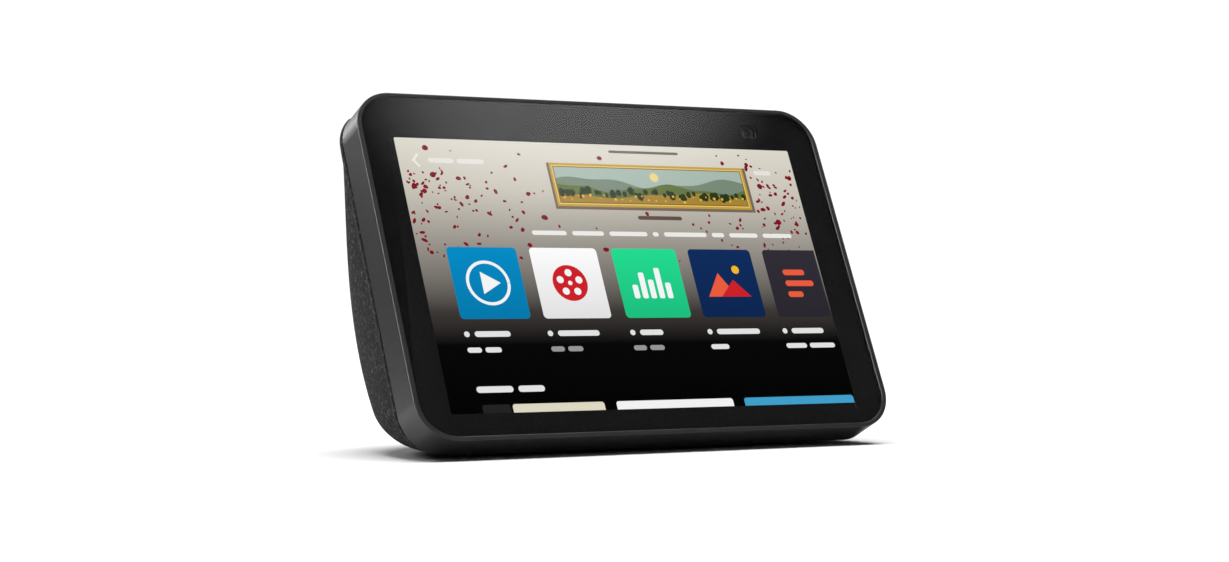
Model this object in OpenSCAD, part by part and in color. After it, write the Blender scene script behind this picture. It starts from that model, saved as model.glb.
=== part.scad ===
// Table-top smart display: a wedge with a leaning glass face, a knitted rear body and side-firing speakers.
// Frame: millimetres, +Z up, face towards -Y, origin under the middle of the overall box.

/* [Face] */
// Width of the face, side to side
face_w = 200.4; // [198:0.2:203]
// Height of the face, measured up its slope
face_h = 135.4; // [134:0.2:138]
// Corner radius of the face
face_r = 15; // [13:0.5:16]
// Depth of the frame's side wall, square to the face
frame_depth = 13.6; // [13:0.1:14.5]
// Angle by which the face leans back
lean = 25; // [24:0.5:26]
// Width of the lit picture
screen_w = 172.3; // [168:0.1:173]
// Height of the lit picture
screen_h = 107.7; // [104:0.1:108.5]
// Height of the picture's middle above the lower edge of the face
screen_mid = 64.1; // [63.8:0.1:64.6]

/* [Glass] */
// Thickness of the cover glass
glass_t = 1.1; // [0.7:0.1:1.3]
// How far the glass sits below the frame's lip
glass_drop = 0.15; // [0.05:0.05:0.3]
// Width of the frame's lip at the sides
lip_side = 2.0; // [1.6:0.1:2.4]
// Width of the frame's lip at the top
lip_top = 1.45; // [1.3:0.05:1.8]
// Width of the frame's lip at the bottom
lip_bottom = 1.6; // [1.3:0.1:2]
// Gap all round between glass and lip
glass_gap = 0.15; // [0.1:0.05:0.25]

/* [Rear body] */
// Overall depth, front edge to back
depth = 99; // [96:0.5:102]
// Height of the rear body's fullest level
belly_h = 45; // [40:1:50]
// How far the back curls in from its fullest level down to the base
base_curl = 9.3; // [6:0.1:12]
// Thickness of the knitted cover
cover_t = 0.8; // [0.6:0.1:1]
// Wall thickness of the rear housing
wall = 2; // [1.6:0.1:2.2]
// Height of the rubber foot under the base
foot_h = 1.3; // [1:0.1:1.6]

/* [Controls] */
// Distance between neighbouring top buttons
button_pitch = 18; // [15:0.5:20]
// Radius of a button's cap
button_r = 3.8; // [3.5:0.1:3.8]
// How far a button travels when pressed
button_travel = 0.5; // [0.3:0.1:0.5]
// Sideways place of the camera
camera_x = 70.2; // [69:0.1:71]
// Travel of the camera shutter
shutter_travel = 9.5; // [9:0.1:9.5]

/* [Sound] */
// Outer radius of a speaker
speaker_r = 25.4; // [24:0.1:25.5]
// Travel of a speaker cone either way
cone_travel = 1.5; // [0.5:0.1:1.5]
// Outer radius of the passive radiator
radiator_r = 24; // [22:0.5:24]

/* [Power] */
// Height of the power inlet's middle
port_h = 13; // [12.5:0.5:13.5]
// Radius of the inlet's plug hole
plug_r = 2.75; // [2.5:0.05:2.9]
// Radius of the inlet's centre pin
pin_r = 1.05; // [0.8:0.05:1.25]

/* [Hidden] */
$fn = 64;
eps = 0.01;
cut = 1;

// The face: where its lower front edge lies, and layer depths behind the lip (negative is inward)
front_y = -depth / 2;
front_z = foot_h + frame_depth * sin(lean);
frame_wall = 2.2;
glass_back = -glass_drop - glass_t;
print_t = 0.1;
adhesive_t = 0.25;
ledge_front = glass_back - print_t - adhesive_t;
ledge_t = 1.5;
ledge_back = ledge_front - ledge_t;
pocket_w = face_w - 2 * lip_side;
pocket_h = face_h - lip_top - lip_bottom;
pocket_r = face_r - lip_side;
glass_w = pocket_w - 2 * glass_gap;
glass_h = pocket_h - 2 * glass_gap;
glass_mid = (face_h - lip_top + lip_bottom) / 2;

// The display module
module_w = 179;
module_h = 115;
touch_t = 0.3;
panel_t = 1.1;
films_t = 0.4;
guide_t = 2;
tray_t = 0.4;
touch_back = glass_back - print_t - touch_t;
panel_back = touch_back - panel_t;
films_back = panel_back - films_t;
guide_back = films_back - guide_t;
tray_back = guide_back - tray_t;
chassis_front = -6.4;
chassis_t = 1.2;
chassis_back = chassis_front - chassis_t;

// Top controls
camera_mid = 126;
camera_window_w = 8;
camera_window_h = 6;
wall_inner = face_h - frame_wall;
button_z = -7.7;
flange_over = 0.7;
button_gap = 0.2;
button_proud = 0.5;
flange_t = 1.2;
board_y = 125;
board_t = 1.4;
switch_t = 3;
switch_top = board_y + board_t + switch_t;
mic_x = 31;
blade_w = 10;
blade_t = 0.4;
slider_offset = 5;
shield_reach = shutter_travel + 2.7;
shield_t = 0.5;

// Screw places on the face
chassis_points = [for (side = [-1, 1]) for (y = [15, 64, 117]) [side * 94.2, y]];
housing_points = [for (side = [-1, 1]) for (y = [40, 93]) [side * 94, y]];
enclosure_posts = [for (side = [-1, 1]) for (y = [28, 66]) [side * 50, y]];
board_w = 96;
board_low = 80;
board_high = 120;
board_back = -12.2;
main_board_t = 1.6;
board_points = [for (side = [-1, 1]) for (y = [board_low + 4, board_high - 4]) [side * (board_w / 2 - 4), y]];

// Rear body levels
cover_inset = 0.6;
seam = 0.45;
body_base = foot_h + 0.5;
body_top = foot_h + (face_h - cover_inset) * cos(lean);
base_edge_r = 4;
ring_points = 36;
ring_levels = 16;
housing_inset = cover_t + 0.05;
housing_floor = 6;

// Base
base_mid_y = -33;
base_r = 72;
base_corner = 10;
base_seat = foot_h + 1.6;
base_ledge = 4;
base_points = [for (a = [15, 60, 120, 165]) [64 * cos(a), base_mid_y + 64 * sin(a)]];

// Speaker enclosure
box_half = 62;
box_wall = 2.2;
box_low = 14;
box_high = 71;
lid_t = 2;
box_front_y = -31;
speaker_y = 10.5;
speaker_z = 42;
radiator_z = 45;
radiator_y = 39;
lid_points = [[-56, 1], [56, 1], [-56, 29], [56, 29]];

function plane_y(h) = front_y + frame_depth * cos(lean) + (h - foot_h) * tan(lean);
function fullness(h) = 2.96 - 0.97 * pow((h - 64.5) / 62, 2);
function corner_inset(h, inset) =
    let (along = (h - foot_h) / cos(lean),
         r = face_r - cover_inset - inset,
         edge = max(0, min(along, face_h - along) - cover_inset - inset))
    edge >= r ? 0 : r - sqrt(r * r - (r - edge) * (r - edge));
function half_width(h, inset) = face_w / 2 - cover_inset - inset - corner_inset(h, inset);
function edge_round(h, low) = h - low >= base_edge_r ? 0
    : base_edge_r - sqrt(pow(base_edge_r, 2) - pow(base_edge_r - max(0, h - low), 2));
function upper_back(h, inset) =
    let (k = min(1, (h - belly_h) / (body_top - inset - belly_h)), start = plane_y(body_top))
    start + (depth / 2 - inset - start) * pow(1 - pow(k, 1.7), 1 / 1.7);
function lower_back(h, inset, low) =
    depth / 2 - inset - base_curl * (1 - sqrt(1 - pow((belly_h - h) / belly_h, 2))) - edge_round(h, low);
function back_y(h, inset, low) = h >= belly_h ? upper_back(h, inset) : lower_back(h, inset, low);
function arc_point(t, power) = [-sign(cos(t)) * pow(abs(cos(t)), power), pow(sin(t), power)];

// One level of the rear body: a straight front edge and a rounded back
function body_ring(h, inset, low, front) =
    let (w = half_width(h, inset), y = plane_y(h), d = back_y(h, inset, low) - y - seam,
         power = 2 / fullness(h))
    concat([[-w, y + front, h]],
        [for (i = [0:ring_points]) let (p = arc_point(180 * i / ring_points, power))
            [w * p[0], y + seam + d * p[1], h]],
        [[w, y + front, h]]);

// The rear body as a solid between two levels; inset shrinks it, front moves its flat side
module body_solid(inset, low, front) {
    top = body_top - inset - 0.25;
    levels = [for (i = [0:ring_levels]) low + (top - low) * (1 - cos(180 * i / ring_levels)) / 2];
    count = ring_points + 3;
    points = [for (h = levels) each body_ring(h, inset, low, front)];
    sides = [for (j = [0:ring_levels - 1]) for (i = [0:count - 1])
        let (a = j * count + i, b = j * count + (i + 1) % count)
        each [[b, b + count, a], [b + count, a + count, a]]];
    bottom = [for (i = [count - 1:-1:0]) i];
    lid = [for (i = [0:count - 1]) ring_levels * count + i];
    polyhedron(points, concat(sides, [bottom, lid]));
}

module on_face() {
    translate([0, front_y, front_z]) rotate([90 - lean, 0, 0]) children();
}

// Rounded plate on the face: middle height, width, height, corner radius, front and back depths
module face_plate(mid, w, h, r, front, back) {
    translate([0, mid, back]) linear_extrude(front - back) rounded_rect(w, h, r);
}

module rounded_rect(w, h, r) {
    square([w - 2 * r, h], center = true);
    square([w, h - 2 * r], center = true);
    for (x = [-1, 1]) for (y = [-1, 1]) translate([x * (w / 2 - r), y * (h / 2 - r)]) circle(r);
}

// Half disc with rounded corners, its straight side towards the front at y = flat
module base_outline(r, flat, corner) {
    corner_y = flat + corner;
    corner_x = sqrt(pow(r - corner, 2) - corner_y * corner_y);
    join_y = corner_y * r / (r - corner);
    intersection() {
        circle(r, $fn = 96);
        translate([-r, join_y]) square([2 * r, r]);
    }
    translate([-corner_x, flat]) square([2 * corner_x, join_y - flat + eps]);
    for (side = [-1, 1]) translate([side * corner_x, corner_y]) circle(corner);
}

module base_block(inset, low, high) {
    translate([0, base_mid_y, low]) linear_extrude(high - low)
        base_outline(base_r - inset, inset, max(2, base_corner - inset));
}

// Pan-head screw, head up, its seat at z = 0
module screw(shank_r, length) {
    head_t = shank_r * 1.2;
    translate([0, 0, -length]) cylinder(r = shank_r, h = length + eps, $fn = 24);
    difference() {
        cylinder(r = shank_r * 1.9, h = head_t, $fn = 24);
        for (turn = [0, 90]) rotate(turn) translate([-shank_r, -shank_r * 0.15, head_t / 2])
            cube([2 * shank_r, shank_r * 0.3, head_t]);
    }
}

// ---- Face and display ----

module front_frame() {
    color("#2e3033") on_face() difference() {
        union() {
            difference() {
                face_plate(face_h / 2, face_w, face_h, face_r, 0, -frame_depth);
                face_plate(glass_mid, pocket_w, pocket_h, pocket_r, cut, ledge_front);
                face_plate(screen_mid, module_w + 1, module_h + 1.6, 1, cut, -frame_depth);
                face_plate(face_h / 2, face_w - 2 * frame_wall, face_h - 2 * frame_wall,
                    face_r - frame_wall, ledge_back, -frame_depth - cut);
            }
            for (p = chassis_points) boss(p, 2.6, ledge_back, chassis_front);
            for (p = housing_points) boss(p, 3, ledge_back, -frame_depth);
        }
        for (p = chassis_points) boss(p, 0.85, chassis_front + 4.5, chassis_front - cut);
        for (p = housing_points) boss(p, 1.05, -6.5, -frame_depth - cut);
        for (i = [-1:1]) top_hole(i * button_pitch, button_z, button_r + button_gap);
        for (side = [-1, 1]) top_hole(side * mic_x, button_z, 0.6);
        shutter_slot();
        boss([camera_x, camera_mid], 3.7, cut, ledge_back - cut);
    }
}

module boss(p, r, front, back) {
    translate([p[0], p[1], back]) cylinder(r = r, h = front - back, $fn = 32);
}

module top_hole(x, z, r) {
    translate([x, wall_inner - cut, z]) rotate([-90, 0, 0]) cylinder(r = r, h = frame_wall + 2 * cut);
}

// Room for the shutter: blade pocket in the ledge, arm slot, and the recess that the slider runs in
module shutter_slot() {
    left = camera_x - shutter_travel - blade_w / 2 - 0.5;
    knob = camera_x - shutter_travel + slider_offset;
    translate([left, camera_mid - 4.8, ledge_front - blade_t - 0.4])
        cube([blade_w + shutter_travel + 1, 9.4, blade_t + 0.4 + cut]);
    translate([knob - 2.4, camera_mid + 3, -9]) cube([shutter_travel + 4.8, 2.2, 9 + ledge_front + eps]);
    translate([knob - 2.4, wall_inner - cut, -8]) cube([shutter_travel + 4.8, frame_wall + 2 * cut, 2.2]);
    translate([knob - 5.4, face_h - 0.9, -8.7]) cube([shutter_travel + 10.8, 0.9 + cut, 3.6]);
}

module cover_glass() {
    color("#101114") on_face() face_plate(glass_mid, glass_w, glass_h, pocket_r - glass_gap,
        -glass_drop, glass_back);
}

module border_print() {
    color("#050506") on_face() difference() {
        face_plate(glass_mid, glass_w, glass_h, pocket_r - glass_gap, glass_back, glass_back - print_t);
        face_plate(screen_mid, screen_w, screen_h, 0.6, 0, glass_back - cut);
        translate([camera_x, 0, 0]) face_plate(camera_mid, camera_window_w, camera_window_h, 1.2,
            0, glass_back - cut);
    }
}

module glass_adhesive() {
    color("#202020") on_face() difference() {
        face_plate(glass_mid, glass_w - 0.6, glass_h - 0.6, pocket_r - glass_gap - 0.3,
            glass_back - print_t, ledge_front);
        face_plate(screen_mid, module_w + 1.4, module_h + 2, 1.2, 0, ledge_front - cut);
        translate([camera_x - shutter_travel - blade_w / 2 - 1.5, camera_mid - 5.2, ledge_front - cut])
            cube([blade_w + shutter_travel + 9, 10.2, adhesive_t + 2 * cut]);
    }
}

module display_layer(w, h, front, back) {
    on_face() face_plate(screen_mid, w, h, 0.8, front, back);
}

module touch_sensor() {
    color("#8fa0a8") display_layer(176, 112, glass_back - print_t, touch_back);
}

module lcd_panel() {
    color("#1b1f2a") display_layer(177, 113, touch_back, panel_back);
}

module optical_films() {
    color("#f2f2ee") display_layer(176.5, 112.5, panel_back, films_back);
}

module light_guide() {
    color("#dfeef2") on_face() difference() {
        face_plate(screen_mid, 176.5, 112.5, 0.8, films_back, guide_back);
        translate([-85, screen_mid - 57, guide_back - cut]) cube([170, 3, guide_t + 2 * cut]);
    }
}

module led_strip() {
    color("#f4e9b0") on_face() {
        translate([-82, screen_mid - 56, guide_back]) cube([164, 1.2, 1.6]);
        for (i = [0:13]) translate([-78 + i * 12 - 1.5, screen_mid - 54.8, guide_back + 0.2])
            cube([3, 0.6, 1.2]);
    }
}

module backlight_tray() {
    color("#a8adb2") on_face() difference() {
        face_plate(screen_mid, module_w, module_h, 1.2, films_back + films_t, tray_back);
        face_plate(screen_mid, module_w - 2 * tray_t, module_h - 2 * tray_t, 0.9, cut, guide_back);
    }
}

module display_chassis() {
    color("#7d8287") on_face() difference() {
        union() {
            face_plate(screen_mid, module_w, module_h, 4, chassis_front, chassis_back);
            for (p = chassis_points) {
                boss(p, 3, chassis_front, chassis_back);
                translate([min(p[0], p[0] - sign(p[0]) * 8), p[1] - 3, chassis_back]) cube([8, 6, chassis_t]);
            }
            for (p = enclosure_posts) boss(p, 3, chassis_back + eps, box_front_depth());
            for (p = board_points) boss(p, 2.5, chassis_back + eps, board_back + main_board_t);
        }
        for (p = chassis_points) boss(p, 1.1, 0, chassis_back - cut);
        for (p = enclosure_posts) boss(p, 0.85, cut, box_front_depth() - cut);
        for (p = board_points) boss(p, 0.85, cut, board_back);
        translate([-13, 71.5, chassis_back - cut]) cube([26, 4, chassis_t + 2 * cut]);
        for (side = [-1, 1]) translate([side * 68 - 10, 84, chassis_back - cut])
            cube([20, 22, chassis_t + 2 * cut]);
    }
}

// ---- Electronics ----

module main_board() {
    color("#1f5b3a") on_face() difference() {
        translate([-board_w / 2, board_low, board_back]) cube([board_w, board_high - board_low, main_board_t]);
        for (p = board_points) boss(p, 1.1, 0, board_back - cut);
    }
}

module processor() {
    color("#18191b") on_face() translate([-7, 97, board_back - 1.2]) cube([14, 14, 1.2]);
}

module thermal_pad() {
    color("#9aa7b8") on_face() translate([-7, 97, board_back - 2]) cube([14, 14, 0.8]);
}

module heat_sink() {
    color("#c2c6ca") on_face() {
        translate([-16, 92, board_back - 4]) cube([32, 24, 2]);
        for (i = [0:7]) translate([-16 + i * 4.4, 92, board_back - 10]) cube([1.2, 24, 6 + eps]);
    }
}

module shield_cans() {
    color("#b9bdc0") on_face() for (x = [-40, 20]) difference() {
        translate([x, 90, board_back - 2.4]) cube([20, 24, 2.4]);
        translate([x + 0.3, 90.3, board_back - 2.1]) cube([19.4, 23.4, 2.1 + cut]);
    }
}

module light_sensor() {
    color("#3a2f40") on_face() {
        translate([78.5, 125, ledge_front]) cube([3, 2, 0.2]);
    }
}

module wifi_antennas() {
    color("#c9a24a") on_face() {
        translate([-84, 123.6, ledge_back - 0.8]) cube([28, 7.4, 0.8]);
        translate([38, 123.6, ledge_back - 0.8]) cube([14, 7.4, 0.8]);
    }
}

// ---- Camera and shutter ----

module camera_module() {
    color("#15161a") on_face() {
        translate([camera_x - 3.8, camera_mid - 3.2, -8.4]) cube([7.6, 6.4, 4.2]);
        difference() {
            boss([camera_x, camera_mid], 3.1, ledge_back - 0.1, -4.2 - eps);
            boss([camera_x, camera_mid], 1.6, cut, -3.6);
        }
    }
}

module camera_bracket() {
    color("#9b9fa3") on_face() {
        translate([camera_x - 6, camera_mid - 3, -9.2]) cube([12, 6, 0.8]);
        for (side = [-1, 1]) translate([camera_x + side * 5.6 - 0.4, camera_mid - 3, -9.2])
            cube([0.8, 6, 9.2 + ledge_back]);
    }
}

module shutter_blade() {
    color("#d9dadb") on_face() translate([camera_x - shutter_travel - blade_w / 2, camera_mid - 4.2,
        ledge_front - blade_t - 0.2]) cube([blade_w, 8.2, blade_t]);
}

// Knob, ribs and arm of the shutter, with a thin shield that keeps the slot covered over the travel
module shutter_slider() {
    knob = camera_x - shutter_travel + slider_offset;
    arm_back = -7.7;
    color("#3a3c40") on_face() {
        translate([knob - 2, camera_mid + 3.4, arm_back]) cube([4, 1.4, ledge_front - blade_t - 0.2 - arm_back]);
        translate([knob - 2, camera_mid + 3.4, arm_back]) cube([4, face_h - camera_mid - 3.4, 1.6]);
        translate([knob - 5, face_h - 0.7, -8.4]) cube([10, 1.2, 3]);
        translate([knob - shield_reach, wall_inner - 0.3 - shield_t, -8.4]) cube([2 * shield_reach, shield_t, 3]);
        for (i = [-1:1]) translate([knob + i * 2 - 0.3, face_h + 0.4, -8.2]) cube([0.6, 0.3, 2.6]);
    }
}

// ---- Top buttons ----

// A round cap with a retaining flange under the wall and a stem down to its switch
module top_button(x) {
    stem_y = switch_top + button_travel + 0.2;
    flange_y = wall_inner - 0.1 - flange_t;
    on_face() translate([x, 0, button_z]) rotate([-90, 0, 0]) {
        translate([0, 0, flange_y]) cylinder(r = button_r, h = face_h + button_proud - flange_y);
        translate([0, 0, flange_y]) cylinder(r = button_r + flange_over, h = flange_t);
        translate([0, 0, stem_y]) cylinder(r = 1.5, h = flange_y - stem_y + eps);
    }
}

module mic_button() {
    color("#3a3c40") top_button(-button_pitch);
}

module volume_down_button() {
    color("#3a3c40") top_button(0);
}

module volume_up_button() {
    color("#3a3c40") top_button(button_pitch);
}

module button_board() {
    color("#1f5b3a") on_face() translate([-35, board_y, button_z - 3.5]) cube([70, board_t, 7]);
}

module tact_switches() {
    color("#b8bcc0") on_face() for (i = [-1:1]) translate([i * button_pitch, board_y + board_t, button_z])
        rotate([-90, 0, 0]) {
            translate([-2.6, -2.6, 0]) cube([5.2, 5.2, 2.2]);
            cylinder(r = 1.4, h = switch_t);
        }
}

module microphones() {
    color("#c8b06a") on_face() for (side = [-1, 1])
        translate([side * mic_x - 1.5, board_y + board_t, button_z - 1.2]) cube([3, 1, 2.4]);
}

module microphone_boots() {
    color("#26272a") on_face() for (side = [-1, 1]) translate([side * mic_x, 0, button_z])
        rotate([-90, 0, 0]) translate([0, 0, board_y + board_t + 1]) difference() {
            cylinder(r = 1.4, h = wall_inner - board_y - board_t - 1);
            translate([0, 0, -cut]) cylinder(r = 0.6, h = wall_inner - board_y);
        }
}

// ---- Speakers ----

function box_front_depth() = -(box_front_y - front_y) * cos(lean) + (box_low - front_z) * sin(lean);

// Side outline of the enclosure, shrunk by t and cut off between two heights
module box_outline(t, low, high) {
    over = box_high + 10;
    function front_at(h) = box_front_y + (h - box_low) * tan(lean) + t / cos(lean);
    intersection() {
        polygon([[front_at(box_low), box_low], [21 - t, box_low], [36.5 - t, box_low + 18], [36.5 - t, over],
            [front_at(over), over]]);
        translate([-100, low]) square([200, high - low]);
    }
}

module box_slab(t, low, high, half) {
    rotate([90, 0, 90]) translate([0, 0, -half]) linear_extrude(2 * half) box_outline(t, low, high);
}

module at_speaker(side) {
    translate([side * box_half, speaker_y, speaker_z]) rotate([0, side * 90, 0]) children();
}

module at_radiator() {
    translate([0, radiator_y, radiator_z]) rotate([-90, 0, 0]) children();
}

module speaker_enclosure() {
    tub_high = box_high - lid_t;
    color("#34373b") difference() {
        union() {
            difference() {
                union() {
                    box_slab(0, box_low, tub_high, box_half);
                    at_radiator() translate([0, 0, -14]) cylinder(r = radiator_r, h = 14);
                }
                box_slab(box_wall, box_low + box_wall, tub_high + cut, box_half - box_wall);
                at_radiator() translate([0, 0, -30]) cylinder(r = radiator_r - 3, h = 40);
            }
            for (p = lid_points) translate([p[0], p[1], tub_high - 5]) cylinder(r = 4, h = 5, $fn = 32);
        }
        for (side = [-1, 1]) at_speaker(side) translate([0, 0, -8]) cylinder(r = speaker_r - 2.2, h = 10);
        for (p = lid_points) translate([p[0], p[1], tub_high - 6]) cylinder(r = 0.85, h = 8, $fn = 24);
        on_face() for (p = enclosure_posts) boss(p, 1.1, 0, box_front_depth() - 6);
    }
}

module enclosure_lid() {
    color("#2c2f33") difference() {
        box_slab(0, box_high - lid_t, box_high, box_half);
        for (p = lid_points) translate([p[0], p[1], 0]) cylinder(r = 1.1, h = 100, $fn = 24);
        for (x = [-20, 20]) translate([x, 10, 0]) cylinder(r = 1.6, h = 100, $fn = 24);
    }
}

module speaker_frame(side) {
    rim = speaker_r;
    hole = speaker_r - 2.4;
    at_speaker(side) difference() {
        rotate_extrude() polygon([[rim, 0], [rim, 1.6], [hole - 0.8, 1.6], [hole - 1.8, 0], [14.2, -12],
            [7.8, -12], [7.8, -13.4], [15.6, -13.4], [hole - 0.4, -0.8], [hole, 0]]);
        for (turn = [0:90:270]) rotate(turn) translate([12, -5, -11]) cube([12, 10, 8.5]);
    }
}

module speaker_magnet(side) {
    at_speaker(side) difference() {
        translate([0, 0, -22.5]) cylinder(r = 14.5, h = 9.1);
        translate([0, 0, -21]) rotate_extrude() translate([5.8, 0]) square([2, 9]);
    }
}

// Half-roll rubber ring between an inner and an outer radius, lying on z = base
module half_roll(inner, outer, base) {
    middle = (inner + outer) / 2;
    roll = (outer - inner) / 2 - 0.6;
    rotate_extrude() {
        difference() {
            translate([middle, base]) circle(roll, $fn = 32);
            translate([middle, base]) circle(roll - 0.5, $fn = 32);
            translate([0, base - 10]) square([100, 10]);
        }
        translate([inner, base]) square([0.65, 0.5]);
        translate([outer - 0.65, base]) square([0.65, 0.5]);
    }
}

module speaker_surround(side) {
    at_speaker(side) half_roll(18.5, speaker_r - 1.8, 1.6);
}

module speaker_cone(side) {
    coil_end = -15 - cone_travel;
    dome = [for (a = [0:10:90]) [8.6 * cos(a), -7 + 2.6 * sin(a)]];
    at_speaker(side) rotate_extrude() {
        polygon([[18.2, 1.4], [18.2, 0.8], [7.1, -8.6], [7.1, coil_end], [6.6, coil_end], [6.6, -7.9]]);
        polygon(concat([[0, -7], [0, -7.4], [8.2, -7.4]], dome));
    }
}

module left_speaker_frame() {
    color("#4a4d50") speaker_frame(-1);
}

module left_speaker_magnet() {
    color("#8a8d90") speaker_magnet(-1);
}

module left_speaker_surround() {
    color("#1c1c1e") speaker_surround(-1);
}

module left_speaker_cone() {
    color("#2f2f31") speaker_cone(-1);
}

module right_speaker_frame() {
    color("#4a4d50") speaker_frame(1);
}

module right_speaker_magnet() {
    color("#8a8d90") speaker_magnet(1);
}

module right_speaker_surround() {
    color("#1c1c1e") speaker_surround(1);
}

module right_speaker_cone() {
    color("#2f2f31") speaker_cone(1);
}

module radiator_frame() {
    color("#4a4d50") at_radiator() difference() {
        cylinder(r = radiator_r, h = 1.6);
        translate([0, 0, -cut]) cylinder(r = radiator_r - 2.6, h = 4);
    }
}

module radiator_surround() {
    color("#1c1c1e") at_radiator() half_roll(16.5, radiator_r - 2.6, 0.6);
}

module radiator_diaphragm() {
    color("#3a3b3d") at_radiator() {
        translate([0, 0, 0.6]) cylinder(r = 16.2, h = 1);
        translate([0, 0, -2.6]) cylinder(r = 9, h = 3.2 + eps);
    }
}

// ---- Rear body and base ----

function port_y() = back_y(port_h, 0, body_base);
function port_tilt() = atan2(back_y(port_h + 2, 0, body_base) - back_y(port_h - 2, 0, body_base), 4);

module at_port() {
    translate([0, port_y(), port_h]) rotate([-90 - port_tilt(), 0, 0]) children();
}

// Round patch of upright slots: spacing, slot width, patch radius and depth
module slot_patch(pitch, width, reach, deep) {
    for (i = [-3:3]) let (half = sqrt(reach * reach - pow(i * pitch, 2)))
        translate([i * pitch - width / 2, -half, -deep / 2]) cube([width, 2 * half, deep]);
}

module sound_slots() {
    translate([0, speaker_y, speaker_z]) rotate([90, 0, 90]) slot_patch(6, 3, 20, face_w + 20);
    at_radiator() slot_patch(5, 2.4, 17.3, 30);
}

module rear_housing() {
    inner = housing_inset + wall;
    color("#26282b") difference() {
        union() {
            difference() {
                body_solid(housing_inset, body_base + cover_t + 0.05, 0.02);
                body_solid(inner, housing_floor, -4);
            }
            on_face() for (p = housing_points) boss(p, 3.4, -frame_depth - 0.05, -20);
            for (p = base_points) translate([p[0], p[1], base_ledge - 0.1]) cylinder(r = 3, h = 4.5, $fn = 32);
        }
        sound_slots();
        on_face() for (p = housing_points) {
            boss(p, 1.1, 0, -19);
            boss(p, 2.3, -18, -21);
        }
        base_block(0, 0, base_ledge);
        for (p = base_points) translate([p[0], p[1], 0]) cylinder(r = 0.85, h = 11, $fn = 24);
        difference() {
            base_block(12, 0, housing_floor + cut);
            for (p = base_points) translate([p[0], p[1], 0]) cylinder(r = 3, h = 20, $fn = 32);
        }
        at_port() translate([0, 0, -14]) cylinder(r = 6.8, h = 20);
    }
}

module fabric_cover() {
    color("#3b3d40") difference() {
        body_solid(0, body_base, seam - 0.05);
        body_solid(cover_t, body_base + cover_t, -4);
        base_block(0, 0, 6);
        at_port() translate([0, 0, -6]) cylinder(r = 6.8, h = 12);
    }
}

module base_plate() {
    color("#222427") difference() {
        base_block(0.25, foot_h, base_ledge - 0.05);
        difference() {
            base_block(4, 0, foot_h + 0.6);
            base_block(12, 0, foot_h + 0.6 + cut);
        }
        for (p = base_points) translate([p[0], p[1], 0]) {
            cylinder(r = 1.1, h = 10, $fn = 24);
            cylinder(r = 2.4, h = base_seat, $fn = 24);
        }
    }
}

module rubber_foot() {
    color("#1a1a1b") difference() {
        base_block(4.15, 0, foot_h + 0.6);
        base_block(11.85, -cut, 6);
    }
}

// ---- Power inlet ----

module port_bezel() {
    color("#1b1c1e") at_port() rotate_extrude() polygon([[5.6, 0.45], [7.6, 0.45], [7.6, 0.03], [6.7, 0.03],
        [6.7, -7], [plug_r + 0.25, -7], [plug_r + 0.25, -5.6], [5.6, -5.6]]);
}

module dc_jack() {
    color("#101011") at_port() difference() {
        translate([-4.5, -4, -18]) cube([9, 8, 10.95]);
        translate([0, 0, -16]) cylinder(r = plug_r, h = 12);
    }
}

module jack_pin() {
    color("#d7d9db") at_port() translate([0, 0, -16]) cylinder(r = pin_r, h = 8.2);
}

module power_board() {
    color("#1f5b3a") at_port() translate([-13, 4, -18]) cube([26, 1.4, 10.5]);
}

// ---- Cables ----

// Round cable along smooth points
module cable(points, r) {
    n = len(points);
    sides = 8;
    function along(i) = let (d = points[min(n - 1, i + 1)] - points[max(0, i - 1)]) d / norm(d);
    function spoke(i, k) =
        let (t = along(i), u = cross(t, [1, 0.3, 0.2]), a = u / norm(u), b = cross(t, a))
        points[i] + r * (cos(360 * k / sides) * a + sin(360 * k / sides) * b);
    polyhedron(
        [for (i = [0:n - 1]) for (k = [0:sides - 1]) spoke(i, k)],
        concat([[for (k = [sides - 1:-1:0]) k]],
            [for (i = [0:n - 2]) for (k = [0:sides - 1])
                [i * sides + k, i * sides + (k + 1) % sides, (i + 1) * sides + (k + 1) % sides,
                 (i + 1) * sides + k]],
            [[for (k = [0:sides - 1]) (n - 1) * sides + k]]));
}

// Smooth curve between four control points
function bezier(p, steps) = [for (i = [0:steps]) let (t = i / steps)
    pow(1 - t, 3) * p[0] + 3 * pow(1 - t, 2) * t * p[1] + 3 * (1 - t) * t * t * p[2] + pow(t, 3) * p[3]];

module display_cable() {
    color("#b5742f") on_face() translate([-11, 0, 0]) rotate([90, 0, 90]) linear_extrude(22)
        polygon([[60, -5.55], [60, -5.85], [73, -5.85], [73, -13.7], [84, -13.7], [84, board_back],
            [83.7, board_back], [83.7, -13.4], [73.3, -13.4], [73.3, -5.55]]);
}

module speaker_wires() {
    color("#a02020") for (side = [-1, 1]) cable(bezier([[side * 20, 10, 66], [side * 20, 10, 78],
        [side * 30, 10, 82], [side * 30, -1.2, 79.4]], 12), 0.8);
}

module power_wires() {
    under = bezier([[9, 26.2, 12.2], [35, 26, 8.5], [76, 16, 8], [74, 4, 24]], 12);
    up = bezier([[74, 4, 24], [73, -2, 34], [76, -6, 82], [49.5, -2, 82]], 14);
    route = concat(under, [for (i = [1:14]) up[i]]);
    color("#b02a2a") for (shift = [0, -2]) cable([for (p = route) p + [0, shift, 0]], 0.8);
}

// ---- Fasteners ----

module chassis_screws() {
    color("#c7cacd") on_face() for (p = chassis_points) translate([p[0], p[1], chassis_back])
        rotate([180, 0, 0]) screw(0.8, 4.5);
}

module housing_screws() {
    color("#c7cacd") on_face() for (p = housing_points) translate([p[0], p[1], -18]) rotate([180, 0, 0])
        screw(1, 9);
}

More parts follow.
